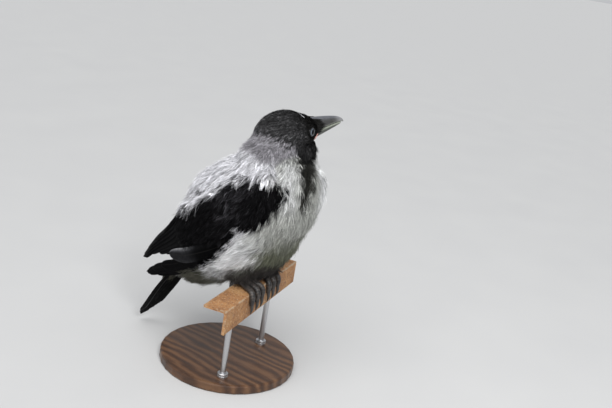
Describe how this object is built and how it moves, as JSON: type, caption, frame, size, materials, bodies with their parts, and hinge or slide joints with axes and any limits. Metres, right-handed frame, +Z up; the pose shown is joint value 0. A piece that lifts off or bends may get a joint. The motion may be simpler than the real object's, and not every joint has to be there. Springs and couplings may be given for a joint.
{
  "type": "fledgling hooded crow on a display stand",
  "caption": "Still life-size young hooded crow, black and grey, squatting with its head turned left and its toes over a short rusty steel angle on a rod stand with a round base.",
  "frame": {"origin": "centre of the round base's underside, on the floor", "axes": "+X the way the bird's body faces, +Y the bird's left, +Z up"},
  "size_m": [0.1987, 0.171, 0.2829],
  "materials": {
    "grey_down": "soft grey-white feather, black on the head, throat and bib",
    "black_feather": "glossy black feather",
    "leg_down": "dark brown-black down",
    "bill_horn": "satin horn, grey",
    "claw_horn": "satin horn, black",
    "eye": "wet, blue-grey iris",
    "foot_scutes": "scaly skin",
    "rusty_steel": "rusted, worn pale at the edge",
    "stained_wood": "dark satin",
    "rod_steel": "brushed"
  },
  "bodies": {
    "root": {"head": "grey_down", "neck": "grey_down", "trunk": "grey_down", "upper_bill": "bill_horn", "lower_bill": "bill_horn", "eye_left": "eye", "eye_right": "eye", "tail": "black_feather", "wing_left": "black_feather", "secondaries_left": "black_feather", "primaries_left": "black_feather", "thigh_left": "leg_down", "tarsus_left": "foot_scutes", "foot_left": "foot_scutes", "claw_left_inner": "claw_horn", "claw_left_middle": "claw_horn", "claw_left_outer": "claw_horn", "claw_left_hind": "claw_horn", "wing_right": "black_feather", "secondaries_right": "black_feather", "primaries_right": "black_feather", "thigh_right": "leg_down", "tarsus_right": "foot_scutes", "foot_right": "foot_scutes", "claw_right_inner": "claw_horn", "claw_right_middle": "claw_horn", "claw_right_outer": "claw_horn", "claw_right_hind": "claw_horn", "stand_perch_rail": "rusty_steel", "stand_rod_a": "rod_steel", "stand_rod_b": "rod_steel", "stand_base": "stained_wood"}
  },
  "joints": []
}
